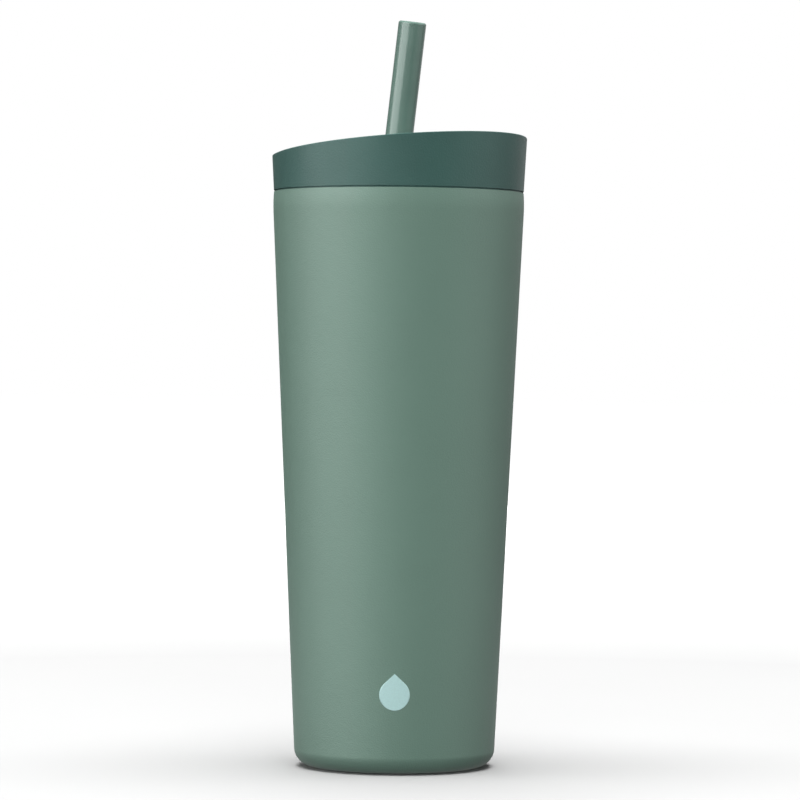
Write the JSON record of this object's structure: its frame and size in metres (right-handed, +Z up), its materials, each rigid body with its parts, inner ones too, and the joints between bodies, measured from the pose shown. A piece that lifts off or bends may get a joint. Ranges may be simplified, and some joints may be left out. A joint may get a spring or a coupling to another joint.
{
  "type": "insulated tumbler",
  "caption": "Tapered vacuum-insulated tumbler with a push-in lid that has a sloping rim, a turning sip closure and a leaning straw.",
  "frame": {"origin": "centre of the foot, on the surface the tumbler stands on", "axes": "+Z up along the cup's axis; +X towards the high side of the lid's sloping rim, which is also where the straw leans"},
  "size_m": [0.0889, 0.089, 0.2601],
  "materials": {
    "powder_coat": "matte powder coat, sage green",
    "steel": "brushed stainless steel",
    "solder_glass": "fused solder glass",
    "getter_alloy": "sintered metal",
    "foot_silicone": "matte silicone",
    "lid_plastic": "satin moulded plastic, dark teal green",
    "dial_plastic": "satin moulded plastic, dark teal green",
    "seal_silicone": "soft silicone, pale sage",
    "straw_plastic": "semi-gloss extruded plastic, sage green"
  },
  "bodies": {
    "cup": {"outer_wall": "powder_coat", "inner_liner": "steel", "base_plate": "steel", "vacuum_seal_bead": "solder_glass", "getter_clip": "steel", "getter_pellet": "getter_alloy", "base_cover_disc": "steel", "foot_pad": "foot_silicone"},
    "lid_seal": {"plug_gasket": "seal_silicone"},
    "lid": {"lid_shell": "lid_plastic", "lid_plug": "lid_plastic", "vent_valve": "seal_silicone", "straw_grommet": "seal_silicone", "hub_ring": "lid_plastic"},
    "dial": {"sip_dial": "dial_plastic", "dial_seal": "seal_silicone"},
    "straw": {"straw": "straw_plastic"}
  },
  "joints": [
    {"name": "lid_lift", "type": "slide", "parent": "cup", "child": "lid_seal", "axis": [0, 0, 1], "range_m": [0, 0.23]},
    {"name": "lid_turn", "type": "hinge", "parent": "lid_seal", "child": "lid", "pos_m": [0, 0, 0.1925], "axis": [0, 0, 1], "continuous": true},
    {"name": "dial_turn", "type": "hinge", "parent": "lid", "child": "dial", "pos_m": [0, 0, 0.2061], "axis": [0, 0, 1], "range_deg": [0, 60]},
    {"name": "straw_slide", "type": "slide", "parent": "lid", "child": "straw", "axis": [0.1323, 0, 0.9912], "range_m": [0, 0.2]}
  ]
}
